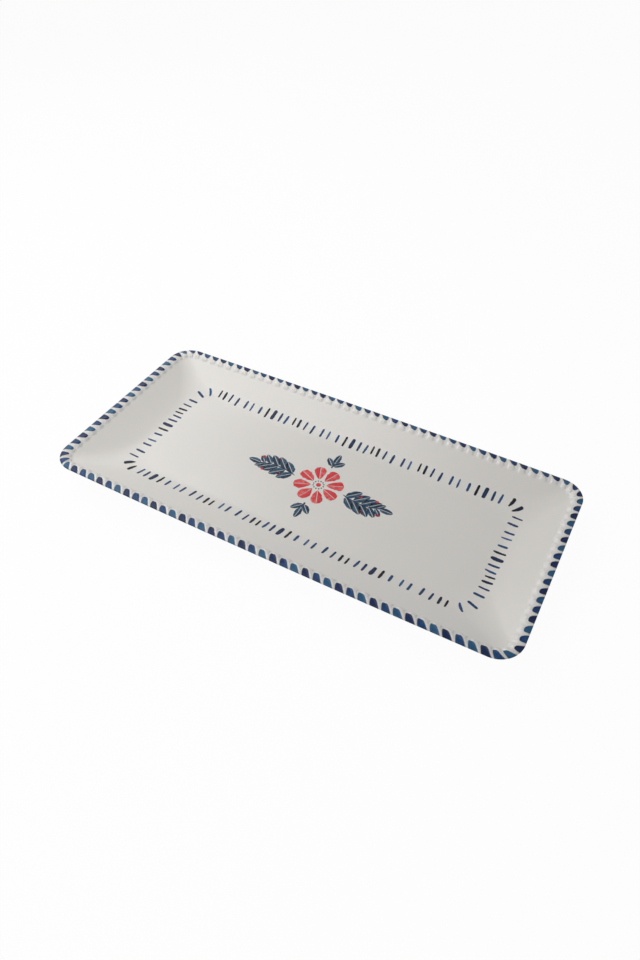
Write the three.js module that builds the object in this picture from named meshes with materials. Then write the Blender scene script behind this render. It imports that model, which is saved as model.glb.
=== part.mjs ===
// Rectangular serving platter: a fired clay body with a rope-twisted rim, under a coat of glaze.
// Millimetres, +Z up. The origin is the middle of the foot's bearing face, with the long sides along X.
import * as THREE from "three";

// Finished size, measured over the glaze
const length = 350;
const width = 166;
const height = 21.4;
const cornerRadius = 17.5; // of the rim's outer edge, seen from above
const sideCrown = 1.25; // each long side bows outwards by this much at its middle

// Serving well, with insets measured from the rim's outer edge
const floorInset = 40; // where the flat floor begins
const floorCornerRadius = 14;
const floorThickness = 5;
const wallBend = 8; // the wall's own line would meet the floor this far outside the flat
const wallThickness = 4.6;

// Rope rim: round ridges between shallow flat-floored grooves, which narrow towards the well
const ropeWidth = 8.3;
const ropeLobes = 126;
const ropeCrestInset = 3.2;
const ropeEdgeDrop = 0.8; // from the crest down to the outermost edge
const ropeFootDrop = 2.5; // from the crest down to the top of the wall
const ropeLean = 2.7; // how far a groove slips along the rim between the outer edge and the wall
const ropeStart = 5.1; // from the end of the first corner to the first groove
const grooveShare = 0.5; // depth of a groove, as a share of the rope's height above the wall
const outerGrooveFloor = 4.8; // flat of a groove at the outermost edge
const innerGrooveFloor = 1.2; // and at the wall
const lipInset = 2.4; // the rounding under the outermost edge
const lipDrop = 1.8;

// Foot ring, left bare of glaze where it stands
const footInset = 34;
const footWidth = 7;
const footLand = 3.4; // width of the bearing face
const footHeight = 3.5; // depth of the recess inside the ring
const glazeThickness = 0.35;
const glazeStop = 1; // the glaze ends this far above the table

// How finely the curves are cut
const cornerSteps = 5;
const longSideSteps = 4;
const shortSideSteps = 2;
const wallSteps = 5;
const lipSteps = 2;
const ropeShares = [0.8, 0.54, 0.27, 0, -0.7]; // over the rope's back: 1 at the wall, 0 on the crest, -1 at the edge

// The outline that the rim's outer edge follows, walked anticlockwise from the near left corner
const halfLength = length / 2;
const halfWidth = width / 2 - sideCrown;
const longStraight = length - 2 * cornerRadius;
const shortStraight = 2 * (halfWidth - cornerRadius);
const straights = [longStraight, shortStraight, longStraight, shortStraight];
const quarter = (Math.PI / 2) * cornerRadius;
const perimeter = 2 * (longStraight + shortStraight) + 4 * quarter;
const cornerSigns = [[1, -1], [1, 1], [-1, 1], [-1, -1]];

// A point of the plan at a distance along that outline, on a ring drawn in by an inset
function planPoint(arc, inset, radius) {
  let rest = THREE.MathUtils.euclideanModulo(arc, perimeter);
  let side = 0;
  while (side < 3 && rest >= straights[side] + quarter) {
    rest -= straights[side] + quarter;
    side += 1;
  }
  const from = cornerSigns[(side + 3) % 4];
  const to = cornerSigns[side];
  const along = Math.min(rest / straights[side], 1);
  const turn = Math.max(rest - straights[side], 0) / quarter;
  const angle = ((side - 1 + turn) * Math.PI) / 2;
  const coreX = THREE.MathUtils.lerp(from[0], to[0], along);
  const coreY = THREE.MathUtils.lerp(from[1], to[1], along);
  const x = coreX * (halfLength - inset - radius) + radius * Math.cos(angle);
  const y = coreY * (halfWidth - inset - radius) + radius * Math.sin(angle);
  const reach = x / (halfLength - inset);
  return new THREE.Vector2(x, y + coreY * sideCrown * (1 - reach * reach));
}

// Distances along the outline where a smooth ring has its points
function smoothArcs() {
  const arcs = [];
  let start = 0;
  straights.forEach((straight, side) => {
    const steps = side % 2 ? shortSideSteps : longSideSteps;
    for (let i = 0; i < steps; i++) arcs.push(start + (straight * i) / steps);
    start += straight;
    for (let i = 0; i < cornerSteps; i++) arcs.push(start + (quarter * i) / cornerSteps);
    start += quarter;
  });
  return arcs;
}
const plainArcs = smoothArcs();

// A level ring: the same height and inset all the way round
function plainRing(inset, level, radius) {
  const points = plainArcs.map((arc) => {
    const plan = planPoint(arc, inset, radius);
    return new THREE.Vector3(plan.x, plan.y, level);
  });
  return { arcs: plainArcs, points };
}

// The middle of a flat area, as a ring of one point
function middle(level) {
  return { arcs: [0], points: [new THREE.Vector3(0, 0, level)] };
}

// The wall's inner face, from the rope down to the floor, as a curve of inset and height
const floorTop = footHeight + floorThickness;
const wallTop = new THREE.Vector2(ropeWidth, height - ropeFootDrop);
const wallLine = new THREE.Vector2(floorInset - wallBend, floorTop);
const wallFoot = new THREE.Vector2(floorInset, floorTop);
const wallCurve = new THREE.QuadraticBezierCurve(wallTop, wallLine, wallFoot);
const wallRadius = (t) => THREE.MathUtils.lerp(cornerRadius - ropeWidth, floorCornerRadius, t);

function wallRing(t) {
  const point = wallCurve.getPoint(t);
  return plainRing(point.x, point.y, wallRadius(t));
}

// What the rope stands on: the wall's own line carried on up, then level to the outermost edge
function ropeBed(inset) {
  const slope = wallCurve.getTangent(0);
  const carried = wallTop.y + ((inset - wallTop.x) * slope.y) / slope.x;
  return Math.min(carried, height - ropeEdgeDrop);
}

// A ring over the rope's back: the flat of each groove and the ridge beside it, leaning clockwise
function ropeRing(share) {
  const reach = share > 0 ? ropeWidth - ropeCrestInset : ropeCrestInset;
  const drop = share > 0 ? ropeFootDrop * share ** 2 : ropeEdgeDrop * (1 - Math.sqrt(1 - share ** 2));
  const inset = ropeCrestInset + reach * share;
  const crest = height - drop;
  const bed = Math.min(ropeBed(inset), crest);
  const bottom = THREE.MathUtils.lerp(crest, bed, grooveShare);
  const across = inset / ropeWidth;
  const halfFloor = THREE.MathUtils.lerp(outerGrooveFloor, innerGrooveFloor, across ** 2) / 2;
  const pitch = perimeter / ropeLobes;
  const ring = { arcs: [], points: [] };
  const add = (arc, level) => {
    const plan = planPoint(arc, inset, cornerRadius - inset);
    ring.arcs.push(arc);
    ring.points.push(new THREE.Vector3(plan.x, plan.y, level));
  };
  for (let lobe = 0; lobe < ropeLobes; lobe++) {
    const groove = ropeStart + lobe * pitch - ropeLean * across;
    add(groove - halfFloor, bottom);
    add(groove + halfFloor, bottom);
    add(groove + pitch / 2, crest);
  }
  return ring;
}

// The underside of the wall, one wall thickness square to its inner face
function underside(t) {
  const tangent = wallCurve.getTangent(t);
  const square = new THREE.Vector2(tangent.y, -tangent.x).multiplyScalar(wallThickness);
  const inner = wallCurve.getPoint(t);
  const point = inner.clone().add(square);
  return { inset: point.x, level: point.y, radius: wallRadius(t) + inner.x - point.x };
}

// Where the underside of the wall meets the outside of the foot, by halving
function undersideEnd() {
  let low = 0;
  let high = 1;
  for (let i = 0; i < 40; i++) {
    const half = (low + high) / 2;
    if (underside(half).inset < footInset) low = half;
    else high = half;
  }
  return low;
}
const footAt = undersideEnd();

// The outermost edge and the rounding under it
function lipRing(step) {
  const angle = ((Math.PI / 2) * step) / lipSteps;
  const inset = lipInset * (1 - Math.cos(angle));
  const level = height - ropeEdgeDrop - lipDrop * Math.sin(angle);
  return plainRing(inset, level, cornerRadius - inset);
}

// The foot ring's sides slope in from its root to the bearing face
const footRoot = underside(footAt);
const footSlope = (footWidth - footLand) / 2 / footHeight;
const footRing = (inset, level) => plainRing(inset, level, footRoot.radius + footRoot.inset - inset);
const footOuter = (level) => footRing(footInset + footSlope * (footHeight - level), level);
const footInner = (level) => footRing(footInset + footWidth - footSlope * (footHeight - level), level);

// The finished surface as rings, from the middle of the floor over the rim to the middle of the base
const count = (steps) => Array.from({ length: steps + 1 }, (unused, i) => i);
const wellRings = [middle(floorTop), ...count(wallSteps).map((i) => wallRing(1 - i / wallSteps))];
const rimRings = [...ropeShares.map(ropeRing), ...count(lipSteps).map(lipRing)];
const underRings = count(wallSteps - 1).map((i) => {
  const under = underside((footAt * i) / wallSteps);
  return plainRing(under.inset, under.level, under.radius);
});
const upperRings = [...wellRings, ...rimRings, ...underRings, footRing(footInset, footRoot.level), footOuter(glazeStop)];
const landRings = [footOuter(0), footInner(0)];
const baseRings = [footInner(glazeStop), footInner(footHeight), middle(footHeight)];
const rings = [...upperRings, ...landRings, ...baseRings];

// Number the points, and join each ring to the next by triangles that walk round both together
const finished = [];
rings.forEach((ring) => {
  ring.start = finished.length;
  finished.push(...ring.points);
});

function join(inner, outer) {
  const at = (ring, i) => ring.start + (i % ring.points.length);
  const next = (ring, i) => {
    if (ring.points.length === 1 || i >= ring.points.length) return Infinity;
    return i + 1 < ring.points.length ? ring.arcs[i + 1] : ring.arcs[0] + perimeter;
  };
  const faces = [];
  let i = 0;
  let j = 0;
  while (next(inner, i) < Infinity || next(outer, j) < Infinity) {
    if (next(inner, i) < next(outer, j)) {
      faces.push([at(inner, i), at(outer, j), at(inner, i + 1)]);
      i += 1;
    } else {
      faces.push([at(inner, i), at(outer, j), at(outer, j + 1)]);
      j += 1;
    }
  }
  return faces;
}
const bands = rings.slice(1).map((ring, i) => join(rings[i], ring));
const upperBands = bands.slice(0, upperRings.length - 1).flat();
const baseBands = bands.slice(1 - baseRings.length).flat();

// The clay lies one glaze thickness under the finished surface, and reaches it on the bare foot
function pushDown(points, faces) {
  const normals = points.map(() => new THREE.Vector3());
  faces.forEach(([a, b, c]) => {
    const side = points[b].clone().sub(points[a]);
    const face = points[c].clone().sub(points[a]);
    const normal = side.cross(face);
    [a, b, c].forEach((i) => normals[i].add(normal));
  });
  return points.map((point, i) => point.clone().addScaledVector(normals[i].normalize(), -glazeThickness));
}
const clay = pushDown(finished, [...upperBands, ...baseBands]);

// One numbering for both surfaces: the clay's points follow the finished ones
const allPoints = [...finished, ...clay];
const onClay = (faces) => faces.map((face) => face.map((i) => i + finished.length));
const turned = (faces) => faces.map(([a, b, c]) => [a, c, b]);

// The edge where a coat of glaze stops, from the finished surface in to the clay
function coatEdge(ring) {
  const number = ring.points.length;
  return ring.points.flatMap((point, i) => {
    const here = ring.start + i;
    const there = ring.start + ((i + 1) % number);
    const clayHere = here + finished.length;
    const clayThere = there + finished.length;
    return [[here, clayHere, there], [there, clayHere, clayThere]];
  });
}

function meshOf(name, faces, material) {
  const geometry = new THREE.BufferGeometry().setFromPoints(allPoints);
  geometry.setIndex(faces.flat());
  const mesh = new THREE.Mesh(geometry, material);
  mesh.name = name;
  return mesh;
}

const clayMaterial = new THREE.MeshStandardMaterial({ color: "#ddd2c2", roughness: 0.9, metalness: 0 });
const glazeMaterial = new THREE.MeshStandardMaterial({ color: "#dcdad6", roughness: 0.25, metalness: 0 });
const baseMaterial = new THREE.MeshStandardMaterial({ color: "#d8d6d1", roughness: 0.3, metalness: 0 });

const upperFaces = [...upperBands, ...turned(onClay(upperBands)), ...coatEdge(upperRings.at(-1))];
const baseFaces = [...baseBands, ...turned(onClay(baseBands)), ...turned(coatEdge(baseRings[0]))];

const platter = new THREE.Group();
platter.add(meshOf("clay_body", onClay(bands.flat()), clayMaterial));
platter.add(meshOf("upper_glaze", upperFaces, glazeMaterial));
platter.add(meshOf("base_glaze", baseFaces, baseMaterial));

export default platter;
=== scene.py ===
# Rectangular serving platter of glazed clay: rope-twisted rim, brushed strokes and a border of dashes.
# The dictionaries are in millimetres and degrees, the meshes in metres.
import math
import re

import bpy
from mathutils import Matrix, Vector


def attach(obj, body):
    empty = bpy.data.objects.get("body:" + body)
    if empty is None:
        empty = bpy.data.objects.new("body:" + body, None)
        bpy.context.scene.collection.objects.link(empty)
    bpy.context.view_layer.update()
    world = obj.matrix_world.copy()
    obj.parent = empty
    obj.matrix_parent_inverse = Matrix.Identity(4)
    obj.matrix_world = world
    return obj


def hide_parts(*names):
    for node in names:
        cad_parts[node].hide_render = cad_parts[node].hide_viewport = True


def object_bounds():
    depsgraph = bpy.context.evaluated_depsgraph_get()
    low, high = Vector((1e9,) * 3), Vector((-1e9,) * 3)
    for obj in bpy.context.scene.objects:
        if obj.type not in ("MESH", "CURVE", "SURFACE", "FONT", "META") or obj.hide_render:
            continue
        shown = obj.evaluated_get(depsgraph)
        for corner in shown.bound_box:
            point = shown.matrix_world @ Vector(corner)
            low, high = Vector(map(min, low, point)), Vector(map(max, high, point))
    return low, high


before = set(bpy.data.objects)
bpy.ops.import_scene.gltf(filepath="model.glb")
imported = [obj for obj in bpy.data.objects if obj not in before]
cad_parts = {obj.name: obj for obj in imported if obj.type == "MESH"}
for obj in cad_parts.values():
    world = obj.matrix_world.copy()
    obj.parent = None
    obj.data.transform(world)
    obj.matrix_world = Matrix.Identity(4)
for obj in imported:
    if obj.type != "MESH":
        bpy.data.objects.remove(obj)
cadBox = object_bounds()
mm = 0.001
scene = bpy.context.scene
scene.view_settings.view_transform = "Standard"
print("frame loaded:", sorted(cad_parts))


# helpers shared by every tree and piece
def hexColour(code):
    parts = [int(code[i:i + 2], 16) / 255 for i in (1, 3, 5)]
    linear = [c / 12.92 if c <= 0.04045 else ((c + 0.055) / 1.055) ** 2.4 for c in parts]
    return (*linear, 1.0)


def addNode(tree, kind, feeds=(), out=0, **settings):
    node = tree.nodes.new(kind)
    for name, value in settings.items():
        setattr(node, name, value)
    for key, value in (feeds.items() if isinstance(feeds, dict) else enumerate(feeds)):
        if isinstance(value, bpy.types.NodeSocket):
            tree.links.new(value, node.inputs[key])
        elif value is not None:
            node.inputs[key].default_value = value
    return node.outputs[out] if len(node.outputs) else node


def newFinish(name):
    finish = bpy.data.materials.new(name)
    finish.use_nodes = True
    finish.node_tree.nodes.clear()
    return finish, finish.node_tree


def asInputs(sizes, *keys):
    # tree inputs named after these keys: tipRound gives Tip Round
    return {re.sub("([A-Z])", r" \1", key).title(): sizes[key] for key in keys}


def newTree(name, sizes):
    # a geometry tree whose named inputs are the keys of sizes, in that order
    tree = bpy.data.node_groups.new(name, "GeometryNodeTree")
    tree.interface.new_socket("Geometry", in_out="INPUT", socket_type="NodeSocketGeometry")
    for label, value in sizes.items():
        kind = {int: "Int", float: "Float"}.get(type(value), type(value).__name__)
        tree.interface.new_socket(label, in_out="INPUT", socket_type="NodeSocket" + kind)
    tree.interface.new_socket("Geometry", in_out="OUTPUT", socket_type="NodeSocketGeometry")
    return tree, tree.nodes.new("NodeGroupInput").outputs


def endTree(tree, given, body):
    # what leaves the tree is real mesh in its own finish
    whole = addNode(tree, "GeometryNodeRealizeInstances", [body])
    dressed = addNode(tree, "GeometryNodeSetMaterial", {"Geometry": whole, "Material": given["Finish"]})
    addNode(tree, "NodeGroupOutput", [dressed])
    return tree


def growMesh(piece, tree, sizes):
    # run the tree on the piece with these sizes, and keep the result as its plain mesh
    modifier = piece.modifiers.new(tree.name, "NODES")
    modifier.node_group = tree
    for item in tree.interface.items_tree:
        if item.in_out == "INPUT" and item.name in sizes:
            modifier[item.identifier] = sizes[item.name]
    bpy.context.view_layer.update()
    depsgraph = bpy.context.evaluated_depsgraph_get()
    grown = bpy.data.meshes.new_from_object(piece.evaluated_get(depsgraph))
    piece.modifiers.remove(modifier)
    piece.data = grown
    grown.name = piece.name
    print("grown:", piece.name, len(grown.polygons), "faces")


def newPiece(name, mesh):
    piece = bpy.data.objects.new(name, mesh)
    scene.collection.objects.link(piece)
    return piece


def storeVectors(mesh, name, rows):
    layer = mesh.attributes.new(name, "FLOAT_VECTOR", "POINT")
    layer.data.foreach_set("vector", [value for row in rows for value in row])


# finishes
noiseSpan = (0.3, 0.7)  # most of a noise texture's values lie between these
glazeLook = {
    "pale": "#E3E0DB",
    "grey": "#E0DDD8",
    "poolAndLifted": "#E2E1DF",  # thicker glaze in the grooves, tinted a little lighter and cooler as painted fill light that lifts their shade, all of it where they are this deep
    "poolAndLiftDepth": 0.9,
    "basePale": "#E2DED7",
    "baseGrey": "#D6D2CA",
    "cloud": 48.0,  # breadth of the clouds, ripples and pores
    "ripple": 16.0,
    "rippleHeight": 0.015,
    "peel": 1.3,
    "peelHeight": 0.004,
    "smooth": 0.28,  # roughness at both ends of its range
    "dull": 0.3,
}


def glazeFinish(name, pale, grey):
    # opaque tin-white glaze, dipped and fired: cloudy off-white, faintly rippled, softly satin
    finish, tree = newFinish(name)
    place = addNode(tree, "ShaderNodeTexCoord", out="Object")
    cloud, ripple, peel = [
        addNode(tree, "ShaderNodeTexNoise",
                {"Vector": place, "Scale": 1 / (glazeLook[size] * mm), "Detail": detail})
        for size, detail in (("cloud", 3.0), ("ripple", 1.0), ("peel", 2.0))]
    mixed = addNode(tree, "ShaderNodeMix", {0: cloud, 6: hexColour(pale), 7: hexColour(grey)},
                    out=2, data_type="RGBA")
    # painted light: the deeper a groove, the more of a lighter glaze colour it gets, lifting its shade;
    # thicker glaze lies there too
    sunk = addNode(tree, "ShaderNodeAttribute", out="Fac", attribute_name="pool")
    pool = addNode(tree, "ShaderNodeMapRange", [sunk, 0.0, glazeLook["poolAndLiftDepth"], 0.0, 1.0])
    colour = addNode(tree, "ShaderNodeMix", {0: pool, 6: mixed, 7: hexColour(glazeLook["poolAndLifted"])},
                     out=2, data_type="RGBA")
    gloss = addNode(tree, "ShaderNodeMapRange",
                    [ripple, *noiseSpan, glazeLook["smooth"], glazeLook["dull"]])
    normal = None
    for bump, height in ((ripple, "rippleHeight"), (peel, "peelHeight")):
        normal = addNode(tree, "ShaderNodeBump",
                         {"Height": bump, "Distance": glazeLook[height] * mm, "Strength": 1.0,
                          "Normal": normal})
    shader = addNode(tree, "ShaderNodeBsdfPrincipled",
                     {"Base Color": colour, "Roughness": gloss, "IOR": 1.5, "Normal": normal})
    addNode(tree, "ShaderNodeOutputMaterial", [shader])
    return finish


clayLook = {
    "pale": "#DFD4C4",
    "dark": "#C9BBA6",
    "grit": 0.7,
    "gritHeight": 0.03,
    "stain": 22.0,
    "stainSpan": (0.15, 0.4),  # grit times stain, from pale to dark
    "roughness": 0.9,
}


def clayFinish():
    # bare fired earthenware where the foot was wiped: buff, chalky and gritty, with no gloss
    finish, tree = newFinish("fired_buff_clay")
    place = addNode(tree, "ShaderNodeTexCoord", out="Object")
    grit, stain = [
        addNode(tree, "ShaderNodeTexNoise",
                {"Vector": place, "Scale": 1 / (clayLook[size] * mm), "Detail": detail})
        for size, detail in (("grit", 4.0), ("stain", 3.0))]
    spread = addNode(tree, "ShaderNodeMath", [grit, stain], operation="MULTIPLY")
    share = addNode(tree, "ShaderNodeMapRange", [spread, *clayLook["stainSpan"], 0.0, 1.0])
    colour = addNode(tree, "ShaderNodeMix",
                     {0: share, 6: hexColour(clayLook["pale"]), 7: hexColour(clayLook["dark"])},
                     out=2, data_type="RGBA")
    rough = addNode(tree, "ShaderNodeBump",
                    {"Height": grit, "Distance": clayLook["gritHeight"] * mm, "Strength": 1.0})
    shader = addNode(tree, "ShaderNodeBsdfPrincipled",
                     {"Base Color": colour, "Roughness": clayLook["roughness"], "IOR": 1.5,
                      "Normal": rough})
    addNode(tree, "ShaderNodeOutputMaterial", [shader])
    return finish


brushLook = {
    "wash": 2.2,  # breadth of the watery patches
    "loadSpan": (0.7, 1.3),  # most sums of a streak and a patch lie between these
    "tailPower": 3.0,
    "softFrom": 0.8,  # from the middle of a mark (0) to its side (1)
    "sideCover": 0.35,
    "roughness": 0.3,
    "specular": 0.15,
}


def brushFinish(name, tones, streaks, spread, tail):
    # underglaze stain from a loaded brush: streaked along each mark, soft at its sides, under a dull gloss
    finish, tree = newFinish(name)
    brush = addNode(tree, "ShaderNodeAttribute", out="Vector", attribute_name="brush")
    tone = addNode(tree, "ShaderNodeAttribute", out="Fac", attribute_name="tone")
    place = addNode(tree, "ShaderNodeTexCoord", out="Object")
    drawn = addNode(tree, "ShaderNodeVectorMath", [brush, streaks], operation="MULTIPLY")
    streak = addNode(tree, "ShaderNodeTexNoise", {"Vector": drawn, "Scale": 1.0, "Detail": 2.0})
    wash = addNode(tree, "ShaderNodeTexNoise",
                   {"Vector": place, "Scale": 1 / (brushLook["wash"] * mm), "Detail": 2.0})
    load = addNode(tree, "ShaderNodeMath", [streak, wash], operation="ADD")
    drift = addNode(tree, "ShaderNodeMapRange", [load, *brushLook["loadSpan"], -spread, spread])
    shade = addNode(tree, "ShaderNodeMath", [tone, drift], operation="ADD")
    side, along = addNode(tree, "ShaderNodeSeparateXYZ", [brush]).node.outputs[:2]
    thinned = addNode(tree, "ShaderNodeMath", [along, brushLook["tailPower"]], operation="POWER")
    paled = addNode(tree, "ShaderNodeMath", [thinned, tail, shade], operation="MULTIPLY_ADD")
    ramp = addNode(tree, "ShaderNodeValToRGB", [paled])
    stops = ramp.node.color_ramp.elements
    for i, (at, code) in enumerate(tones):
        stop = stops[i] if i < 2 else stops.new(at)
        stop.position = at
        stop.color = hexColour(code)
    toSide = addNode(tree, "ShaderNodeMath", [side], operation="ABSOLUTE")
    cover = addNode(tree, "ShaderNodeMapRange",
                    [toSide, 1.0, brushLook["softFrom"], brushLook["sideCover"], 1.0],
                    interpolation_type="SMOOTHSTEP")
    colour = addNode(tree, "ShaderNodeMix", {0: cover, 6: hexColour(glazeLook["grey"]), 7: ramp},
                     out=2, data_type="RGBA")
    shader = addNode(tree, "ShaderNodeBsdfPrincipled",
                     {"Base Color": colour, "Roughness": brushLook["roughness"],
                      "Specular IOR Level": brushLook["specular"]})
    addNode(tree, "ShaderNodeOutputMaterial", [shader])
    return finish


whiteGlaze = glazeFinish("white_tin_glaze", glazeLook["pale"], glazeLook["grey"])
baseGlaze = glazeFinish("white_base_glaze", glazeLook["basePale"], glazeLook["baseGrey"])
buffClay = clayFinish()
cobalt = brushFinish("brushed_cobalt_stain",
                     [(0.0, "#13264F"), (1.0, "#2F5C7E"), (0.3, "#19315E"), (0.6, "#1F4674")],
                     streaks=(1.6, 0.9, 1.0), spread=0.22, tail=0.25)
inkBlue = brushFinish("printed_ink_blue_stain",
                      [(0.0, "#15191F"), (1.0, "#567CA4"), (0.3, "#1C2C4C"), (0.65, "#2E5482")],
                      streaks=(1.2, 1.5, 1.0), spread=0.12, tail=0.0)
slate = brushFinish("printed_slate_blue_stain",
                    [(0.0, "#22364A"), (1.0, "#7D94A6"), (0.5, "#33506A")],
                    streaks=(5.0, 1.4, 1.0), spread=0.3, tail=0.1)
coral = brushFinish("printed_coral_red_stain",
                    [(0.0, "#C93A41"), (1.0, "#EFA09A"), (0.5, "#DF4D51")],
                    streaks=(5.0, 1.4, 1.0), spread=0.3, tail=0.1)
print("finishes ready")


# the platter's form, with insets measured in from the rim's outer edge
lowest, highest = cadBox
platter = {
    "length": (highest.x - lowest.x) / mm,
    "width": (highest.y - lowest.y) / mm,
    "height": (highest.z - lowest.z) / mm,
    "cornerRadius": 17.5,
    "sideCrown": 1.25,  # the long sides bow outwards
    "paintRoom": 0.1,  # the coat lies this far inside the overall size, so that paint on it fits too
    "floorInset": 40.0,
    "floorRadius": 18.0,
    "cornerEase": 26.0,  # at the floor, the straights begin to bend this far before a corner
    "floorLevel": 8.5,
    "wallBend": 8.0,
    "wallThickness": 4.6,
    "footInset": 34.0,
    "footWidth": 7.0,
    "footLand": 3.4,
    "footHeight": 3.5,
    "baseInset": 48.0,  # one face closes the base from here on
    "baseRadius": 1.0,
    "sharpAngle": 40.0,
    "coat": 0.35,
    "glazeStop": 1.0,  # the foot is bare below this level
}
rope = {
    "lobes": 126,
    "columns": 12,  # points to a lobe, and on the bodies that hardly show
    "plainColumns": 4,
    "width": 8.3,
    "crestInset": 3.2,
    "edgeDrop": 0.8,
    "footDrop": 2.5,
    "lipInset": 2.4,
    "lipDrop": 1.8,
    "start": 5.1,
    "lean": 3.6,
    "leanFrom": 0.1,  # it leans between these shares of the width
    "leanTo": 0.7,
    "footPower": 2.6,  # 2 is a parabola, and more is rounder
    # depth of a groove, as a share of the rope's height above the wall
    "relief": 0.5,  # at the outermost edge
    "footRelief": 1.0,  # at the foot, where the ridges end as beads
    # where a groove's sides begin and end, from its ridge (0) to its middle (1)
    "outerSideTop": 0.0,
    "outerSideFoot": 0.32,
    "innerSideTop": 0.6,
    "innerSideFoot": 1.0,
    "beadFrom": 0.82,  # share of the width where the ridges begin to round off
    "beadSoft": 0.05,
}

halfLength = platter["length"] / 2
halfWidth = platter["width"] / 2 - platter["sideCrown"]
cornerRadius = platter["cornerRadius"]
straights = [2 * (halfLength - cornerRadius), 2 * (halfWidth - cornerRadius)] * 2
quarter = math.pi / 2 * cornerRadius
perimeter = sum(straights) + 4 * quarter
pitch = perimeter / rope["lobes"]
cornerSigns = [(1, -1), (1, 1), (-1, 1), (-1, -1)]


def station(arc):
    # place on the outline, walked anticlockwise from the near left corner: core signs and outward angle
    rest = arc % perimeter
    side = 0
    while side < 3 and rest >= straights[side] + quarter:
        rest -= straights[side] + quarter
        side += 1
    along = min(rest / straights[side], 1)
    turn = max(rest - straights[side], 0) / quarter
    back, ahead = cornerSigns[side - 1], cornerSigns[side]
    core = [a + (b - a) * along for a, b in zip(back, ahead)]
    return core, (side - 1 + turn) * math.pi / 2


def sectionRow(inset, level, radius, across=0.0, groove=0.0, ease=0.0):
    return {"inset": inset, "level": level, "radius": radius,
            "across": across, "groove": groove, "ease": ease}


wallLine = [
    (rope["width"], platter["height"] - rope["footDrop"]),
    (platter["floorInset"] - platter["wallBend"], platter["floorLevel"]),
    (platter["floorInset"], platter["floorLevel"]),
]


def wallPoint(t):
    return [(1 - t) ** 2 * a + 2 * t * (1 - t) * b + t * t * c for a, b, c in zip(*wallLine)]


def wallTangent(t):
    slope = [(1 - t) * (b - a) + t * (c - b) for a, b, c in zip(*wallLine)]
    return [part / math.hypot(*slope) for part in slope]


def wallRadius(t):
    return (1 - t) * (cornerRadius - rope["width"]) + t * platter["floorRadius"]


def wellRows(steps=10, closest=0.02):
    # from the flat floor up the wall, with the last row close to the rope's foot
    ends = [*[1 - i / steps for i in range(steps)], closest]
    return [sectionRow(*wallPoint(t), wallRadius(t), ease=platter["cornerEase"] * t) for t in ends]


def grooveBottom(inset):
    # the wall's own line carried on up, and then level to the outermost edge
    footInset, footLevel = wallLine[0]
    slope = wallTangent(0)
    carried = footLevel + (inset - footInset) * slope[1] / slope[0]
    return min(carried, platter["height"] - rope["edgeDrop"])


def ropeRows(steps=18):
    # over the rope's round back, from the wall to the outermost edge
    rows = []
    for i in range(steps + 1):
        share = math.sin(math.pi / 2 - math.pi * i / steps)  # 1 at the wall, -1 at the outermost edge
        if share > 0:
            reach = rope["width"] - rope["crestInset"]
            drop = rope["footDrop"] * share ** rope["footPower"]
        else:
            reach = rope["crestInset"]
            drop = rope["edgeDrop"] * (1 - math.sqrt(1 - share ** 2))
        inset = rope["crestInset"] + reach * share
        level = platter["height"] - drop
        across = max(inset / rope["width"], 0)
        relief = rope["relief"] + (rope["footRelief"] - rope["relief"]) * across ** 2
        groove = relief * max(level - grooveBottom(inset), 0)
        rows.append(sectionRow(inset, level, cornerRadius - inset, across, groove))
    return rows


def undersidePoint(t):
    # square through the wall from its inner face
    inset, level = wallPoint(t)
    along = wallTangent(t)
    under = inset + along[1] * platter["wallThickness"]
    return under, level - along[0] * platter["wallThickness"], wallRadius(t) + inset - under


def undersideRows(lipSteps=5, steps=6, search=0.001):
    # the rounding under the outermost edge, then the underside of the wall as far as the foot
    rows = []
    for i in range(1, lipSteps + 1):
        angle = math.pi / 2 * i / lipSteps
        inset = rope["lipInset"] * (1 - math.cos(angle))
        level = platter["height"] - rope["edgeDrop"] - rope["lipDrop"] * math.sin(angle)
        rows.append(sectionRow(inset, level, cornerRadius - inset))
    t = 0.0
    while undersidePoint(t)[0] < platter["footInset"]:
        t += search
    rows += [sectionRow(*undersidePoint(t * i / steps)) for i in range(steps + 1)]
    return rows


def footRow(level, inner, root):
    # the foot's sides slope in from its root to its bearing face
    slope = (platter["footWidth"] - platter["footLand"]) / 2 / platter["footHeight"]
    setIn = slope * (platter["footHeight"] - level)
    inset = platter["footInset"] + (platter["footWidth"] - setIn if inner else setIn)
    return sectionRow(inset, level, root["radius"] + root["inset"] - inset)


def drawnIn(rows, depth):
    # the same rows at the bottom of the grooves, one coat deeper
    line = [(row["inset"], row["level"] - row["groove"]) for row in rows]
    inner = []
    for i, row in enumerate(rows):
        ahead, back = line[min(i + 1, len(rows) - 1)], line[max(i - 1, 0)]
        run = [a - b for a, b in zip(ahead, back)]
        size = math.hypot(*run)
        inset = line[i][0] - run[1] / size * depth
        level = line[i][1] + run[0] / size * depth
        inner.append(sectionRow(inset, level, row["radius"] + row["inset"] - inset, ease=row["ease"]))
    return inner


def easedStations(columns, ease):
    # core signs and outward direction at each column, averaged over this far to both sides
    plain = [station(perimeter * i / columns) for i in range(columns)]
    parts = [(*core, math.cos(angle), math.sin(angle)) for core, angle in plain]
    reach = round(ease / perimeter * columns)
    total = [sum(values) for values in zip(*[parts[k % columns] for k in range(-reach, reach + 1)])]
    eased = []
    for i in range(columns):
        eased.append([value / (2 * reach + 1) for value in total])
        entering, leaving = parts[(i + reach + 1) % columns], parts[(i - reach) % columns]
        total = [value + a - b for value, a, b in zip(total, entering, leaving)]
    return eased


def sectionTravel(rows):
    # distance along the section to each row
    travel = [0.0]
    for a, b in zip(rows, rows[1:]):
        travel.append(travel[-1] + math.hypot(b["inset"] - a["inset"], b["level"] - a["level"]))
    return travel


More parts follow.
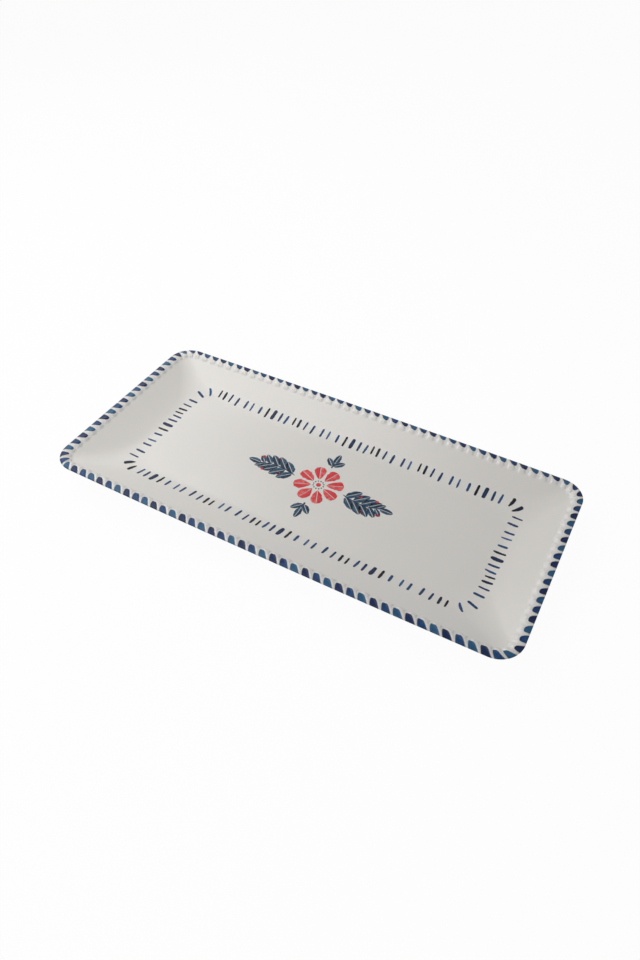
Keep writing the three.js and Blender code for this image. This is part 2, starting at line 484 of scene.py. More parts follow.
def ringSheet(name, rows, columns):
    # rows of the section carried round the outline, closed by one face at each end
    stations = {ease: easedStations(columns, ease) for ease in {row["ease"] for row in rows}}
    travel = sectionTravel(rows)
    faces = []
    uvs = []
    for j in range(len(rows) - 1):
        for i in range(columns):
            here, above, after = j * columns, (j + 1) * columns, (i + 1) % columns
            faces.append((here + i, above + i, above + after, here + after))
            around = [(i, j), (i, j + 1), (i + 1, j + 1), (i + 1, j)]
            uvs += [part for u, v in around for part in (u / columns, travel[v] / travel[-1])]
    last = (len(rows) - 1) * columns
    faces.append(tuple(range(columns)))
    faces.append(tuple(last + i for i in reversed(range(columns))))
    uvs += [part for v in (0.0, 1.0) for i in range(columns) for part in (i / columns, v)]
    mesh = bpy.data.meshes.new(name)
    mesh.from_pydata([(0, 0, 0)] * (columns * len(rows)), [], faces)
    mesh.uv_layers.new(name="UVMap").data.foreach_set("uv", uvs)
    spots = [(row, i, parts) for row in rows for i, parts in enumerate(stations[row["ease"]])]
    storeVectors(mesh, "core", [(*parts[:2], 0) for row, i, parts in spots])
    storeVectors(mesh, "outward", [(*parts[2:], 0) for row, i, parts in spots])
    storeVectors(mesh, "section", [(row["inset"], row["level"], row["radius"]) for row, i, parts in spots])
    storeVectors(mesh, "walk", [(perimeter * i / columns, row["across"], row["groove"])
                                for row, i, parts in spots])
    mesh.polygons.foreach_set("use_smooth", [True] * len(faces))
    return newPiece(name, mesh)


formSizes = {
    "Half Length": halfLength - platter["paintRoom"],
    "Half Width": halfWidth - platter["paintRoom"],
    "Drop": platter["paintRoom"],
    "Pitch": pitch,
    "Finish": whiteGlaze,
    **asInputs(platter, "sideCrown"),
    **asInputs(rope, "start", "lean", "leanFrom", "leanTo", "outerSideTop", "outerSideFoot", "innerSideTop",
               "innerSideFoot", "beadFrom", "beadSoft"),
}


def platterForm():
    # lays each row on the outline and presses the leaning grooves into the rope
    tree, given = newTree("platter_form", formSizes)
    core, outward, section, walk = [
        addNode(tree, "GeometryNodeInputNamedAttribute", [name], data_type="FLOAT_VECTOR")
        for name in ("core", "outward", "section", "walk")]
    inset, level, radius = addNode(tree, "ShaderNodeSeparateXYZ", [section]).node.outputs
    arc, across, deepest = addNode(tree, "ShaderNodeSeparateXYZ", [walk]).node.outputs
    # groove: 1 in the middle of a groove, 0 on the ridges
    leaning = addNode(tree, "ShaderNodeMapRange",
                      [across, given["Lean From"], given["Lean To"], 0.0, given["Lean"]],
                      interpolation_type="SMOOTHSTEP")
    slip = addNode(tree, "ShaderNodeMath", [arc, leaning], operation="ADD")
    fromStart = addNode(tree, "ShaderNodeMath", [slip, given["Start"]], operation="SUBTRACT")
    lobe = addNode(tree, "ShaderNodeMath", [fromStart, given["Pitch"]], operation="DIVIDE")
    turn = addNode(tree, "ShaderNodeMath", [lobe, math.tau], operation="MULTIPLY")
    swing = addNode(tree, "ShaderNodeMath", [turn], operation="COSINE")
    wave = addNode(tree, "ShaderNodeMath", [swing, 0.5, 0.5], operation="MULTIPLY_ADD")
    towardsWell = addNode(tree, "ShaderNodeMath", [across, across], operation="MULTIPLY")
    ending = addNode(tree, "ShaderNodeMapRange", [across, given["Bead From"], 1.0, 0.0, 1.0])
    narrower = addNode(tree, "ShaderNodeMath", [ending, ending], operation="MULTIPLY")
    left = addNode(tree, "ShaderNodeMath", [1.0, narrower], operation="SUBTRACT")
    top, foot = [
        addNode(tree, "ShaderNodeMix",
                [towardsWell, None, given["Outer Side " + end], given["Inner Side " + end]])
        for end in ("Top", "Foot")]
    beadTop = addNode(tree, "ShaderNodeMath", [top, left], operation="MULTIPLY")
    beadFoot = addNode(tree, "ShaderNodeMath", [foot, left, given["Bead Soft"]], operation="MULTIPLY_ADD")
    groove = addNode(tree, "ShaderNodeMapRange", [wave, beadTop, beadFoot, 0.0, 1.0],
                     interpolation_type="SMOOTHSTEP")
    depth = addNode(tree, "ShaderNodeMath", [deepest, groove], operation="MULTIPLY")
    sunk = addNode(tree, "ShaderNodeMath", [level, depth], operation="SUBTRACT")
    height = addNode(tree, "ShaderNodeMath", [sunk, given["Drop"]], operation="SUBTRACT")
    # plan: the core rectangle grown by the corner radius, with the long sides bowed
    reach = addNode(tree, "ShaderNodeMath", [inset, radius], operation="ADD")
    half = addNode(tree, "ShaderNodeCombineXYZ", [given["Half Length"], given["Half Width"], 0.0])
    coreHalf = addNode(tree, "ShaderNodeVectorMath", [half, reach], operation="SUBTRACT")
    corner = addNode(tree, "ShaderNodeVectorMath", {0: outward, "Scale": radius}, operation="SCALE")
    plan = addNode(tree, "ShaderNodeVectorMath", [core, coreHalf, corner], operation="MULTIPLY_ADD")
    planX, planY = addNode(tree, "ShaderNodeSeparateXYZ", [plan]).node.outputs[:2]
    coreY = addNode(tree, "ShaderNodeSeparateXYZ", [core], out="Y")
    span = addNode(tree, "ShaderNodeMath", [given["Half Length"], inset], operation="SUBTRACT")
    ratio = addNode(tree, "ShaderNodeMath", [planX, span], operation="DIVIDE")
    square = addNode(tree, "ShaderNodeMath", [ratio, ratio], operation="MULTIPLY")
    bow = addNode(tree, "ShaderNodeMath", [1.0, square], operation="SUBTRACT")
    crown = addNode(tree, "ShaderNodeMath", [bow, given["Side Crown"]], operation="MULTIPLY")
    bowedY = addNode(tree, "ShaderNodeMath", [crown, coreY, planY], operation="MULTIPLY_ADD")
    place = addNode(tree, "ShaderNodeCombineXYZ", [planX, bowedY, height])
    metres = addNode(tree, "ShaderNodeVectorMath", {0: place, "Scale": mm}, operation="SCALE")
    # groove depth kept for the glaze colour, which paints light into the shaded grooves
    poolAndLifted = addNode(tree, "GeometryNodeStoreNamedAttribute",
                     {"Geometry": given["Geometry"], "Name": "pool", "Value": depth}, data_type="FLOAT")
    laid = addNode(tree, "GeometryNodeSetPosition", {"Geometry": poolAndLifted, "Position": metres})
    return endTree(tree, given, laid)


# glaze coats and clay, each a closed body
coatDepth = platter["coat"]
underRows = undersideRows()
footRoot = underRows[-1]
upperRows = [*wellRows(), *ropeRows(), *underRows, footRow(platter["glazeStop"], False, footRoot)]
coatInside = drawnIn(upperRows, coatDepth)[::2]  # hidden on the clay, so every other row will do
coatRows = [*upperRows, *reversed(coatInside)]
landRows = [footRow(0.0, inner, footRoot) for inner in (False, True)]
baseRows = [footRow(platter[level], True, footRoot) for level in ("glazeStop", "footHeight")]
baseRows.append(sectionRow(platter["baseInset"], platter["footHeight"], platter["baseRadius"]))
clayRows = [*drawnIn(upperRows, coatDepth), *landRows, *drawnIn(baseRows, coatDepth)]

formTree = platterForm()
fineColumns = rope["lobes"] * rope["columns"]
plainColumns = rope["lobes"] * rope["plainColumns"]
upperCoat = ringSheet("upper_glaze_coat", coatRows, fineColumns)
baseCoat = ringSheet("base_glaze_coat", [*reversed(drawnIn(baseRows, coatDepth)), *baseRows], plainColumns)
clayBody = ringSheet("fired_clay_body", clayRows, plainColumns)
growMesh(upperCoat, formTree, formSizes)
growMesh(baseCoat, formTree, {**formSizes, "Drop": 0.0, "Finish": baseGlaze})
growMesh(clayBody, formTree, {**formSizes, "Drop": 0.0, "Finish": buffClay})
for piece in (baseCoat, clayBody):
    piece.data.set_sharp_from_angle(angle=math.radians(platter["sharpAngle"]))


# paint lies on the glaze as a closed film, with its underside just inside the coat
film = {"sink": 0.01, "thickness": 0.1, "merge": 0.001}
filmSizes = {label.title(): size * mm for label, size in film.items()}


def lensWidth(tree, along, startRound, endRound):
    # along^start * (1 - along)^end, scaled so that its widest place is 1
    left = addNode(tree, "ShaderNodeMath", [1.0, along], operation="SUBTRACT")
    both = addNode(tree, "ShaderNodeMath", [startRound, endRound], operation="ADD")
    peak = addNode(tree, "ShaderNodeMath", [startRound, both], operation="DIVIDE")
    pastPeak = addNode(tree, "ShaderNodeMath", [1.0, peak], operation="SUBTRACT")
    ends = []
    for far, top, power in ((along, peak, startRound), (left, pastPeak, endRound)):
        share = addNode(tree, "ShaderNodeMath", [far, top], operation="DIVIDE")
        ends.append(addNode(tree, "ShaderNodeMath", [share, power], operation="POWER"))
    return addNode(tree, "ShaderNodeMath", ends, operation="MULTIPLY")


def ruledGrid(tree, given):
    # a flat grid that keeps its places across (-1 to 1) and along (0 to 1) a mark
    grid = addNode(tree, "GeometryNodeMeshGrid", [1.0, 1.0, given["Across"], given["Along"]])
    spot = addNode(tree, "GeometryNodeInputPosition")
    spotX, spotY = addNode(tree, "ShaderNodeSeparateXYZ", [spot]).node.outputs[:2]
    across = addNode(tree, "ShaderNodeMath", [spotX, 2.0], operation="MULTIPLY")
    along = addNode(tree, "ShaderNodeMath", [spotY, 0.5], operation="ADD")
    flat = addNode(tree, "ShaderNodeCombineXYZ", [across, along, 0.0])
    return addNode(tree, "GeometryNodeStoreNamedAttribute",
                   {"Geometry": grid, "Name": "grid", "Value": flat}, data_type="FLOAT_VECTOR")


def layFilm(tree, given, marks, brush, place, facing):
    # rests the marks just inside the coat, then gives them a top, sides and their colour
    brushed = addNode(tree, "GeometryNodeStoreNamedAttribute",
                      {"Geometry": marks, "Name": "brush", "Value": brush}, data_type="FLOAT_VECTOR")
    sunk = addNode(tree, "ShaderNodeVectorMath", {0: facing, "Scale": given["Sink"]}, operation="SCALE")
    rested = addNode(tree, "ShaderNodeVectorMath", [place, sunk], operation="SUBTRACT")
    sheet = addNode(tree, "GeometryNodeSetPosition", {"Geometry": brushed, "Position": rested})
    body = addNode(tree, "GeometryNodeExtrudeMesh",
                   {"Mesh": sheet, "Offset Scale": given["Thickness"], "Individual": False}, mode="FACES")
    smooth = addNode(tree, "GeometryNodeSetShadeSmooth",
                     {"Geometry": body, "Shade Smooth": body.node.outputs["Top"]})
    under = addNode(tree, "GeometryNodeFlipFaces", [sheet])
    joined = addNode(tree, "GeometryNodeJoinGeometry", [smooth])
    tree.links.new(under, joined.node.inputs[0])
    closed = addNode(tree, "GeometryNodeMergeByDistance", {"Geometry": joined, "Distance": given["Merge"]})
    return endTree(tree, given, closed)


# brushed strokes in the rope's grooves
strokes = {
    "across": 10,  # points across and along each stroke
    "along": 30,
    "breadth": 0.83,  # at its widest, as a share of a lobe
    "tipRound": 0.34,
    "endRound": 0.12,
    # reach of the tip from the crest towards the well on each side, walked anticlockwise, and the lean of
    # tip and end, clockwise seen from above and as a share of a lobe
    "sides": {
        "Near": (2.55, 0.32, -0.3),
        "Right": (1.0, 0.08, -0.28),
        "Far": (1.55, 0.1, -0.3),
        "Left": (3.4, 0.1, -0.12),
    },
    "wrap": 2.6,  # down over the outermost edge
    "wander": 0.045,
    "lengthSpread": 0.4,
    "breadthSpread": 0.06,
    "tones": 3,  # dark, mid and light in turn
    "toneSpread": 0.1,
    "seed": 11,
}
coatTravel = sectionTravel(coatRows)
crestRow = max(range(len(upperRows)), key=lambda i: upperRows[i]["level"])
edgeRow = min(range(len(upperRows)), key=lambda i: upperRows[i]["inset"])
strokeSizes = {
    "Strokes": rope["lobes"],
    "Start": rope["start"],
    "Pitch": pitch,
    "Perimeter": perimeter,
    "Crest": coatTravel[crestRow],
    "End": coatTravel[edgeRow] + strokes["wrap"],
    "Corner Half": quarter / 2 / perimeter,
    "Section": coatTravel[-1],
    "Tone Step": 1 / (strokes["tones"] - 1),
    "Finish": cobalt,
    **filmSizes,
    **asInputs(strokes, "across", "along", "breadth", "tipRound", "endRound", "wander", "lengthSpread",
               "breadthSpread", "tones", "toneSpread", "seed"),
}
walked = 0.0
for (side, (reach, tipLean, endLean)), straight in zip(strokes["sides"].items(), straights):
    # a side has half of the corner at each of its ends
    sideHalf = (straight + quarter) / 2 / perimeter
    strokeSizes.update({
        side + " Middle": walked + sideHalf,
        side + " Half": sideHalf,
        side + " Reach": reach,
        side + " Tip Lean": tipLean,
        side + " End Lean": endLean,
    })
    walked += 2 * sideHalf


def rimStrokes():
    # one stroke to a lobe, shaped round the outline and wrapped on to the glaze by its UV map
    tree, given = newTree("rim_strokes", strokeSizes)
    ruled = ruledGrid(tree, given)
    points = addNode(tree, "GeometryNodePoints", {"Count": given["Strokes"]})
    copies = addNode(tree, "GeometryNodeInstanceOnPoints", {"Points": points, "Instance": ruled})
    index = addNode(tree, "GeometryNodeInputIndex")
    numbered = addNode(tree, "GeometryNodeStoreNamedAttribute",
                       {"Geometry": copies, "Name": "stroke", "Value": index},
                       data_type="INT", domain="INSTANCE")
    loose = addNode(tree, "GeometryNodeRealizeInstances", [numbered])
    stroke = addNode(tree, "GeometryNodeInputNamedAttribute", ["stroke"], data_type="INT")
    held = addNode(tree, "GeometryNodeInputNamedAttribute", ["grid"], data_type="FLOAT_VECTOR")
    across, along = addNode(tree, "ShaderNodeSeparateXYZ", [held]).node.outputs[:2]
    brush = addNode(tree, "ShaderNodeCombineXYZ", [across, along, stroke])
    # the side that the stroke is on
    share = addNode(tree, "ShaderNodeMath", [stroke, given["Strokes"]], operation="DIVIDE")
    pastCorner = addNode(tree, "ShaderNodeMath", [share, given["Corner Half"]], operation="ADD")
    lapShare = addNode(tree, "ShaderNodeMath", [pastCorner], operation="FRACT")
    here = {"Reach": 0.0, "Tip Lean": 0.0, "End Lean": 0.0}
    for name in strokes["sides"]:
        onSide = addNode(tree, "ShaderNodeMath",
                         [lapShare, given[name + " Middle"], given[name + " Half"]], operation="COMPARE")
        for kind, before in here.items():
            here[kind] = addNode(tree, "ShaderNodeMath", [onSide, given[name + " " + kind], before],
                                 operation="MULTIPLY_ADD")
    # the tones follow each other from stroke to stroke
    inTurn = addNode(tree, "ShaderNodeMath", [stroke, given["Tones"]], operation="MODULO")
    even = addNode(tree, "ShaderNodeMath", [inTurn, given["Tone Step"]], operation="MULTIPLY")
    # no two strokes are alike: each of these has its usual value and a spread
    varied = []
    usual = {"Wander": here["Tip Lean"], "Breadth Spread": 1.0, "Length Spread": given["Crest"],
             "Tone Spread": even}
    for i, (spread, value) in enumerate(usual.items()):
        seed = addNode(tree, "ShaderNodeMath", [given["Seed"], float(i)], operation="ADD")
        chance = addNode(tree, "FunctionNodeRandomValue",
                         {2: -1.0, 3: 1.0, "ID": stroke, "Seed": seed}, out=1, data_type="FLOAT")
        varied.append(addNode(tree, "ShaderNodeMath", [chance, given[spread], value],
                              operation="MULTIPLY_ADD"))
    tipAt, swell, nearCrest, tone = varied
    # a slanted oval: round at the tip, blunt at the end under the lip
    middle = addNode(tree, "ShaderNodeMix", [along, None, tipAt, here["End Lean"]])
    breadth = addNode(tree, "ShaderNodeMath", [given["Breadth"], swell], operation="MULTIPLY")
    half = addNode(tree, "ShaderNodeMath", [breadth, 0.5], operation="MULTIPLY")
    lens = lensWidth(tree, along, given["Tip Round"], given["End Round"])
    wide = addNode(tree, "ShaderNodeMath", [half, lens], operation="MULTIPLY")
    shift = addNode(tree, "ShaderNodeMath", [across, wide, middle], operation="MULTIPLY_ADD")
    # distance round the outline and along the section, as UV
    lobe = addNode(tree, "ShaderNodeMath", [stroke, shift], operation="SUBTRACT")
    arc = addNode(tree, "ShaderNodeMath", [lobe, given["Pitch"], given["Start"]], operation="MULTIPLY_ADD")
    lap = addNode(tree, "ShaderNodeMath", [arc, given["Perimeter"]], operation="DIVIDE")
    around = addNode(tree, "ShaderNodeMath", [lap], operation="FRACT")
    tip = addNode(tree, "ShaderNodeMath", [nearCrest, here["Reach"]], operation="SUBTRACT")
    travel = addNode(tree, "ShaderNodeMix", [along, None, tip, given["End"]])
    down = addNode(tree, "ShaderNodeMath", [travel, given["Section"]], operation="DIVIDE")
    target = addNode(tree, "ShaderNodeCombineXYZ", [around, down, 0.0])
    uvMap = addNode(tree, "GeometryNodeInputNamedAttribute", ["UVMap"], data_type="FLOAT_VECTOR")
    position = addNode(tree, "GeometryNodeInputPosition")
    normal = addNode(tree, "GeometryNodeInputNormal")
    place, facing = [
        addNode(tree, "GeometryNodeSampleUVSurface", [given["Geometry"], field, uvMap, target],
                data_type="FLOAT_VECTOR")
        for field in (position, normal)]
    toned = addNode(tree, "GeometryNodeStoreNamedAttribute",
                    {"Geometry": loose, "Name": "tone", "Value": tone}, data_type="FLOAT")
    return layFilm(tree, given, toned, brush, place, facing)


rimPaint = newPiece("rim_brush_strokes", upperCoat.data.copy())
growMesh(rimPaint, rimStrokes(), strokeSizes)


# marks on the well: each is a lens or bar of paint with its own place, heading, size and tone
markGrid = {"across": 5, "along": 15, "wobble": 0.22, "wobbleLength": 2.0, "dropFrom": 60.0}
markSizes = {
    "Glaze": upperCoat,
    "Finish": inkBlue,
    **filmSizes,
    **asInputs(markGrid, *markGrid),
}


def wellMarks():
    # one grid to a point, shaped by the point's attributes and dropped on to the glaze
    tree, given = newTree("well_marks", markSizes)
    ruled = ruledGrid(tree, given)
    copies = addNode(tree, "GeometryNodeInstanceOnPoints", {"Points": given["Geometry"], "Instance": ruled})
    loose = addNode(tree, "GeometryNodeRealizeInstances", [copies])
    field = {}
    for name in ("grid", "heading", "size", "ends"):
        held = addNode(tree, "GeometryNodeInputNamedAttribute", [name], data_type="FLOAT_VECTOR")
        field[name] = addNode(tree, "ShaderNodeSeparateXYZ", [held]).node.outputs
    across, along = field["grid"][:2]
    centreX, centreY, angle = field["heading"]
    length, width, bend = field["size"]
    startRound, endRound, side = field["ends"]
    brush = addNode(tree, "ShaderNodeCombineXYZ", [across, along, centreX])
    lens = lensWidth(tree, along, startRound, endRound)
    # the brush's pressure varies a little along the mark
    farAlong = addNode(tree, "ShaderNodeMath", [along, length], operation="MULTIPLY")
    pressAt = addNode(tree, "ShaderNodeCombineXYZ", [centreX, centreY, farAlong])
    fineness = addNode(tree, "ShaderNodeMath", [1.0, given["Wobble Length"]], operation="DIVIDE")
    press = addNode(tree, "ShaderNodeTexNoise", {"Vector": pressAt, "Scale": fineness, "Detail": 0.0})
    centred = addNode(tree, "ShaderNodeMath", [press, 0.5], operation="SUBTRACT")
    pressure = addNode(tree, "ShaderNodeMath", [centred, given["Wobble"], 0.5], operation="MULTIPLY_ADD")
    halfWide = addNode(tree, "ShaderNodeMath", [width, pressure], operation="MULTIPLY")
    wide = addNode(tree, "ShaderNodeMath", [halfWide, lens], operation="MULTIPLY")
    offset = addNode(tree, "ShaderNodeMath", [across, side], operation="ADD")
    # bent to one side, most in the middle, where 4 makes the parabola 1
    left = addNode(tree, "ShaderNodeMath", [1.0, along], operation="SUBTRACT")
    bow = addNode(tree, "ShaderNodeMath", [along, left], operation="MULTIPLY")
    sag = addNode(tree, "ShaderNodeMath", [bow, 4.0], operation="MULTIPLY")
    bowed = addNode(tree, "ShaderNodeMath", [sag, bend], operation="MULTIPLY")
    markX = addNode(tree, "ShaderNodeMath", [offset, wide, bowed], operation="MULTIPLY_ADD")
    fromMiddle = addNode(tree, "ShaderNodeMath", [along, 0.5], operation="SUBTRACT")
    markY = addNode(tree, "ShaderNodeMath", [fromMiddle, length], operation="MULTIPLY")
    local = addNode(tree, "ShaderNodeCombineXYZ", [markX, markY, 0.0])
    turned = addNode(tree, "ShaderNodeVectorRotate", {"Vector": local, "Angle": angle},
                     rotation_type="Z_AXIS")
    above = addNode(tree, "ShaderNodeCombineXYZ", [centreX, centreY, given["Drop From"]])
    high = addNode(tree, "ShaderNodeVectorMath", [turned, above], operation="ADD")
    source = addNode(tree, "ShaderNodeVectorMath", {0: high, "Scale": mm}, operation="SCALE")
    glaze = addNode(tree, "GeometryNodeObjectInfo", [given["Glaze"]], out="Geometry")
    landed = addNode(tree, "GeometryNodeRaycast",
                     {"Target Geometry": glaze, "Source Position": source,
                      "Ray Direction": (0.0, 0.0, -1.0), "Ray Length": 1.0}, out="Hit Position")
    return layFilm(tree, given, loose, brush, landed, landed.node.outputs["Hit Normal"])


markTree = wellMarks()


def direction(heading):
    return math.cos(math.radians(heading)), math.sin(math.radians(heading))


def addMark(marks, x, y, heading, length, width, tone, ends=(0.16, 0.16), side=0, bend=0.0):
    # heading is anticlockwise from +X, side -1 or 1 paints one half only, bend is the sag to the right
    marks.append({"heading": (x, y, math.radians(heading - 90)), "size": (length, width, bend),
                  "ends": (*ends, side), "tone": tone})


def paintMarks(name, marks, finish):
    mesh = bpy.data.meshes.new(name)
    mesh.from_pydata([(0, 0, 0)] * len(marks), [], [])
    for key in ("heading", "size", "ends"):
        storeVectors(mesh, key, [mark[key] for mark in marks])
    tones = mesh.attributes.new("tone", "FLOAT", "POINT")
    tones.data.foreach_set("value", [mark["tone"] for mark in marks])
    piece = newPiece(name, mesh)
    growMesh(piece, markTree, {**markSizes, "Finish": finish})
    return piece


# border of dashes round the well, walked clockwise seen from above
border = {
    "centre": (2.1, 0.35),  # it was laid a little off the middle
    "longAt": 51.0,  # from its centre to the middle of the dashes
    "endAt": 135.8,
    # one run of dashes: place, length, width, tone, lean and how far out it sits
    "run": [
        (0.0, 7.4, 1.6, 0.0, -1, 1.2),
        (4.7, 8.0, 2.1, 0.14, -2, 0.9),
        (10.5, 8.2, 1.6, 0.45, 3, 0.8),
        (17.1, 8.3, 2.0, 0.45, 3, -0.2),
        (25.5, 7.9, 1.9, 0.55, 1, 0.2),
        (31.2, 7.9, 1.6, 0.75, -1, 0.0),
        (39.0, 7.4, 2.0, 0.55, -1, 0.0),
        (45.5, 9.4, 2.0, 0.0, 1, 0.0),
        (51.6, 9.4, 3.2, 0.3, 3, 0.3),
        (57.8, 8.6, 1.9, 0.45, 0, 0.2),
        (63.3, 8.5, 1.9, 0.6, 5, -0.1),
    ],
    # where runs start along each side, and their first and last dash
    "longRuns": [(-120.0, 0, 10), (-50.1, 0, 10), (18.5, 0, 5), (57.2, 0, 10)],
    "endRuns": [(-49.7, 2, 10), (18.3, 0, 3)],
    "sideLean": {0: 0.0, -90: 6.0, 180: 1.5, 90: -3.0},  # by how far the side is turned from the far one
    # two marks in each corner on the right: place, heading, length, width, tone, ends and bend
    "corners": [
        (128.4, 51.3, 74, 8.4, 2.8, 0.0, (0.5, 0.2), 0.5),
        (133.9, 47.3, 44, 8.8, 3.4, 0.1, (0.55, 0.15), 0.5),
        (129.1, -50.2, -58, 8.6, 2.0, 0.6, (0.3, 0.2), 0.5),
        (134.7, -44.8, -26, 8.8, 2.2, 0.45, (0.16, 0.2), 0.0),
    ],
}


def borderMarks():
    marks = []
    midX, midY = border["centre"]
    for turn, lean in border["sideLean"].items():
        onEnd = abs(turn) == 90
        cos, sin = direction(turn)
        for start, first, last in border["endRuns"] if onEnd else border["longRuns"]:
            for offset, length, width, tone, ownLean, out in border["run"][first:last + 1]:
                s = start + offset
                t = (border["endAt"] if onEnd else border["longAt"]) + out
                addMark(marks, midX + s * cos - t * sin, midY + s * sin + t * cos,
                        90 + turn - lean - ownLean, length, width, tone)
    for x, y, heading, length, width, tone, ends, bend in border["corners"]:
        for sign, turn in ((1, 0), (-1, 180)):
            addMark(marks, midX + sign * x, midY + sign * y, heading + turn, length, width, tone, ends,
                    0, bend)
    return marks


borderPaint = paintMarks("border_dashes", borderMarks(), inkBlue)


# a flower between leafy sprigs, in the middle of the floor
motif = {
    "centre": (1.5, 2.0),
    "petals": 8,
    "petalFrom": 5.8,  # from the flower's middle
    "petal": (12.8, 4.3),  # length and half breadth
    "petalEnds": (0.85, 0.4),
    "petalTone": 0.4,
    "halfTone": 0.12,  # one half of a petal or leaf is darker, the other lighter
    "veinGap": 0.28,  # bare line down the middle of petals and leaves
    "stamens": 12,
    "stamenAt": 3.9,
    "stamen": 1.15,
    "stamenTone": 0.2,
    "eye": 3.8,
    "eyeTone": 0.35,
    "stemFrom": 19.8,
    "stemWidth": 1.2,
    "stemBend": 2.6,
    "stemEnds": (0.15, 0.4),
    "longStem": 29.5,
    # place on the stem and length of each pair
    "longLeaves": [(3.0, 12.4), (9.4, 13.0), (15.9, 11.8), (21.8, 10.0), (26.6, 7.7)],
    "shortStem": 5.9,
    "shortLeaves": [(2.4, 9.4)],
    "endLeaf": 10.0,
    "leafBreadth": 0.25,  # half breadth, as a share of the length
    "leafAngle": 44.0,
    "leafOut": 0.5,  # from the middle of the stem
    "leafEnds": (0.6, 0.75),
    "leafTone": 0.35,
    "berry": 2.9,
    "berryAhead": 6.1,  # past the leaf, and out from the stem
    "berryOut": 6.6,
    "berryTone": 0.4,
    "dotEnds": (0.5, 0.5),
}


def addBlade(marks, x, y, heading, length, halfBreadth, tone, ends):
    # two half blades with a bare vein between them, grown from their base at x, y
    cos, sin = direction(heading)
    for side in (-1, 1):
        gap = side * motif["veinGap"] / 2
        addMark(marks, x + cos * length / 2 + sin * gap, y + sin * length / 2 - cos * gap,
                heading, length, halfBreadth, tone + motif["halfTone"] * side, ends, side)


def onMotif(heading, reach, right=0.0):
    # this far out from the motif's middle, and this far to the right of that line
    midX, midY = motif["centre"]
    cos, sin = direction(heading)
    return midX + cos * reach + sin * right, midY + sin * reach - cos * right


def addDot(marks, x, y, heading, size, tone):
    addMark(marks, x, y, heading, size, size, tone, motif["dotEnds"])


def addSprig(leaves, berries, heading, stem, pairs, bend):
    def onStem(far, right=0.0):
        share = far / stem
        return onMotif(heading, motif["stemFrom"] + far, right + bend * 4 * share * (1 - share))

    addMark(leaves, *onMotif(heading, motif["stemFrom"] + stem / 2), heading, stem, motif["stemWidth"],
            motif["leafTone"], motif["stemEnds"], 0, bend)
    for far, length in pairs:
        for side in (-1, 1):
            addBlade(leaves, *onStem(far, side * motif["leafOut"]), heading - side * motif["leafAngle"],
                     length, length * motif["leafBreadth"], motif["leafTone"], motif["leafEnds"])
    addBlade(leaves, *onStem(stem), heading, motif["endLeaf"],
             motif["endLeaf"] * motif["leafBreadth"], motif["leafTone"], motif["leafEnds"])
    places = [far for far, length in pairs]
    for i, (far, farNext) in enumerate(zip(places, places[1:])):
        side = 1 if i % 2 else -1
        x, y = onStem((far + farNext) / 2 + motif["berryAhead"], side * motif["berryOut"])
        addDot(berries, x, y, heading, motif["berry"], motif["berryTone"])


def motifMarks():
    leaves, petals = [], []
    for i in range(motif["petals"]):
        heading = 360 * (i + 0.5) / motif["petals"]
        addBlade(petals, *onMotif(heading, motif["petalFrom"]), heading, *motif["petal"],
                 motif["petalTone"], motif["petalEnds"])
    for i in range(motif["stamens"]):
        heading = 360 * i / motif["stamens"]
        addDot(leaves, *onMotif(heading, motif["stamenAt"]), heading, motif["stamen"], motif["stamenTone"])
    addDot(petals, *motif["centre"], 0, motif["eye"], motif["eyeTone"])
    for heading in (0, 180):
        addSprig(leaves, petals, heading, motif["longStem"], motif["longLeaves"], motif["stemBend"])
    for heading in (90, 270):
        addSprig(leaves, petals, heading, motif["shortStem"], motif["shortLeaves"], 0.0)
    return leaves, petals


leafMarks, petalMarks = motifMarks()
leafPaint = paintMarks("motif_leaves", leafMarks, slate)
petalPaint = paintMarks("motif_petals", petalMarks, coral)
print("paint laid:", len(leafMarks), "leaf marks,", len(petalMarks), "petal marks")


# each piece rides on the one rigid body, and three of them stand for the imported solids
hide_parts("upper_glaze")
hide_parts("base_glaze")
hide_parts("clay_body")
slots = {upperCoat: "glaze", baseCoat: "base_glaze", clayBody: "clay", rimPaint: "glaze",
         borderPaint: "glaze", leafPaint: "glaze", petalPaint: "glaze"}
for piece, slot in slots.items():
    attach(piece, "root")


# white floor and world, soft light from the left
studio = {
    "floorSize": 12000.0,
    "floorColour": "#F4F4F4",
    "floorWhite": 0.96,  # share of plain white that the eye sees on the floor, the rest takes the shadow
    "worldLight": 0.255,
    # power in watts, size and place of each lamp
    "lamps": {
        "window_softbox": (1.81, 600.0, (-709.0, 410.0, 574.0)),
        "overhead_softbox": (1.87, 500.0, (-350.0, 0.0, 606.0)),
        "front_softbox": (1.75, 460.0, (-261.0, -717.0, 477.0)),
    },
}


def eyeShare(tree, share):
    # full on what the camera sees, straight or mirrored, and nothing on other light
    path = addNode(tree, "ShaderNodeLightPath").node.outputs
    seen = path["Is Camera Ray"]
    for kind in ("Is Glossy Ray", "Is Transmission Ray"):
        seen = addNode(tree, "ShaderNodeMath", [seen, path[kind]], operation="MAXIMUM")
    return addNode(tree, "ShaderNodeMath", [seen, share], operation="MULTIPLY")


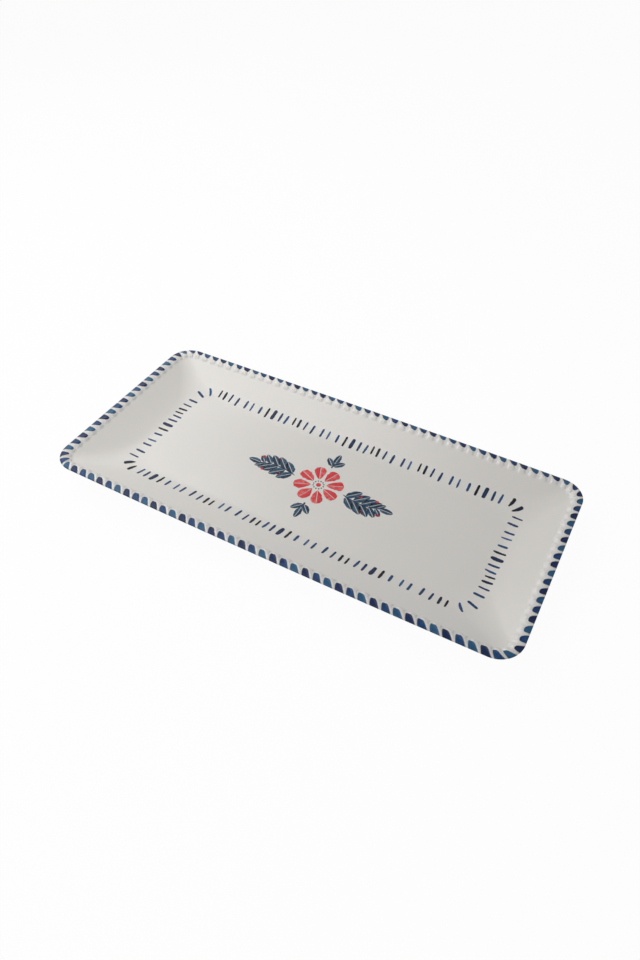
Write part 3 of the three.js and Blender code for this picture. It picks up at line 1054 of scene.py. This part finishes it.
floorFinish, floorTree = newFinish("white_studio_floor")
matt = addNode(floorTree, "ShaderNodeBsdfDiffuse", {"Color": hexColour(studio["floorColour"])})
lit = addNode(floorTree, "ShaderNodeEmission", {"Color": hexColour("#FFFFFF"), "Strength": 1.0})
floorMix = addNode(floorTree, "ShaderNodeMixShader", [eyeShare(floorTree, studio["floorWhite"]), matt, lit])
addNode(floorTree, "ShaderNodeOutputMaterial", [floorMix])
floorHalf = studio["floorSize"] / 2 * mm
floorCorners = [(x * floorHalf, y * floorHalf, 0) for x, y in ((-1, -1), (1, -1), (1, 1), (-1, 1))]
floorMesh = bpy.data.meshes.new("studio_floor")
floorMesh.from_pydata(floorCorners, [], [(0, 1, 2, 3)])
floorMesh.materials.append(floorFinish)
floor = newPiece("studio_floor", floorMesh)

world = bpy.data.worlds.new("white_studio")
world.use_nodes = True
world.node_tree.nodes.clear()
scene.world = world
dim, white = [
    addNode(world.node_tree, "ShaderNodeBackground", {"Color": hexColour("#FFFFFF"), "Strength": strength})
    for strength in (studio["worldLight"], 1.0)]
worldMix = addNode(world.node_tree, "ShaderNodeMixShader", [eyeShare(world.node_tree, 1.0), dim, white])
addNode(world.node_tree, "ShaderNodeOutputWorld", [worldMix])

for name, (power, size, at) in studio["lamps"].items():
    light = bpy.data.lights.new(name, "AREA")
    light.energy = power
    light.size = size * mm
    lamp = bpy.data.objects.new(name, light)
    lamp.location = Vector(at) * mm
    lamp.rotation_euler = lamp.location.to_track_quat("Z", "Y").to_euler()
    scene.collection.objects.link(lamp)


# camera at the photograph's angle
view = {
    "azimuth": 28.03,
    "elevation": 45.25,
    "roll": 0.80,
    "distance": 517.1,
    "target": (6.85, -5.8, 23.0),
    "lens": 27.54,  # for a sensor 36 mm high
    "sensor": 36.0,
    "clipStart": 10.0,
}
facing = Matrix.Identity(4)
for angle, axis in ((view["azimuth"], "Z"), (90 - view["elevation"], "X"), (view["roll"], "Z")):
    facing @= Matrix.Rotation(math.radians(angle), 4, axis)
photoLens = bpy.data.cameras.new("photo_camera")
photoLens.sensor_fit = "VERTICAL"
photoLens.sensor_height = view["sensor"]
photoLens.lens = view["lens"]
photoLens.clip_start = view["clipStart"] * mm
camera = bpy.data.objects.new("photo_camera", photoLens)
standsAt = (Vector(view["target"]) + facing.col[2].to_3d() * view["distance"]) * mm
camera.matrix_world = Matrix.Translation(standsAt) @ facing
scene.collection.objects.link(camera)
scene.camera = camera
print("studio ready")

bpy.context.view_layer.update()
